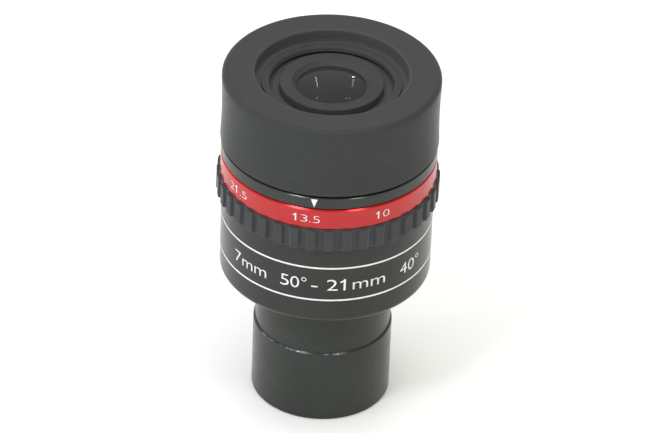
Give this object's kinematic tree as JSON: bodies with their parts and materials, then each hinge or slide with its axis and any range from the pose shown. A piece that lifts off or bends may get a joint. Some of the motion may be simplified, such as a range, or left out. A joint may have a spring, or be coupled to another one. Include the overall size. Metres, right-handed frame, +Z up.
{
  "type": "telescope eyepiece",
  "caption": "Zoom eyepiece: slip-fit barrel, fixed housing, ribbed zoom ring with a number scale, sliding rubber eyecup and moving lens groups.",
  "frame": {"origin": "middle of the barrel's open end, on the optical axis", "axes": "+Z up the optical axis towards the eye; the index mark faces -Y"},
  "size_m": [0.0504, 0.0504, 0.0848],
  "materials": {
    "anodised_black": "satin black anodised",
    "anodised_inner": "matt black anodised",
    "anodised_red": "satin red anodised",
    "soft_rubber": "matt moulded rubber",
    "grip_rubber": "matt ribbed rubber",
    "moulded_black": "matt moulded",
    "nitrile": "smooth",
    "ptfe": "smooth white",
    "steel": "ground",
    "brass": "turned",
    "coated_glass": "polished, coated"
  },
  "bodies": {
    "housing": {"nosepiece": "anodised_black", "lower_housing": "anodised_black", "guide_tube": "anodised_inner", "cam_glide_washer": "ptfe", "lower_glide_washer": "ptfe", "upper_glide_washer": "ptfe", "stop_pin": "steel", "click_spring": "steel", "upper_housing": "anodised_inner", "index_ring": "anodised_black", "eyecup_o_ring": "nitrile", "eye_cell": "anodised_black", "eye_lens_front": "coated_glass", "eye_lens_spacer": "anodised_inner", "eye_doublet_crown": "coated_glass", "eye_doublet_flint": "coated_glass", "eye_lens_retainer": "anodised_inner"},
    "zoom_control": {"zoom_ring": "anodised_inner", "cam_sleeve": "brass", "zoom_drive_screws": "steel", "grip_sleeve": "grip_rubber", "scale_ring": "anodised_red"},
    "variator": {"variator_cell": "anodised_inner", "variator_lens": "coated_glass", "variator_spacer": "anodised_inner", "variator_doublet_crown": "coated_glass", "variator_doublet_flint": "coated_glass", "variator_retainer": "anodised_inner", "variator_pins": "steel", "variator_bushes": "ptfe"},
    "field_group": {"field_cell": "anodised_inner", "field_lens_upper": "coated_glass", "field_lens_lower": "coated_glass", "field_retainer": "anodised_inner", "field_stop": "anodised_inner", "field_pins": "steel", "field_bushes": "ptfe"},
    "eyecup": {"eyecup_rubber": "soft_rubber", "eyecup_core": "moulded_black", "eyecup_guide_screws": "steel"},
    "click": {"click_ball": "steel"}
  },
  "joints": [
    {"name": "zoom_turn", "type": "hinge", "parent": "housing", "child": "zoom_control", "pos_m": [0, 0, 0.0589], "axis": [0, 0, 1], "range_deg": [-89, 44.5]},
    {"name": "variator_slide", "type": "slide", "parent": "housing", "child": "variator", "axis": [0, 0, 1], "range_m": [-0.0039, 0.0078]},
    {"name": "field_slide", "type": "slide", "parent": "housing", "child": "field_group", "axis": [0, 0, 1], "range_m": [-0.00312, 0.00156]},
    {"name": "eyecup_slide", "type": "slide", "parent": "housing", "child": "eyecup", "axis": [0, 0, 1], "range_m": [0, 0.008]},
    {"name": "click_ball_lift", "type": "slide", "parent": "housing", "child": "click", "axis": [0, 0, 1], "range_m": [0, 0.0003], "stiffness_N_per_m": 300, "deforming": ["click_spring"]}
  ],
  "couplings": [
    {"joint": "variator_slide", "follows": "zoom_turn", "m_per_rad": -0.005},
    {"joint": "field_slide", "follows": "zoom_turn", "m_per_rad": 0.002}
  ]
}
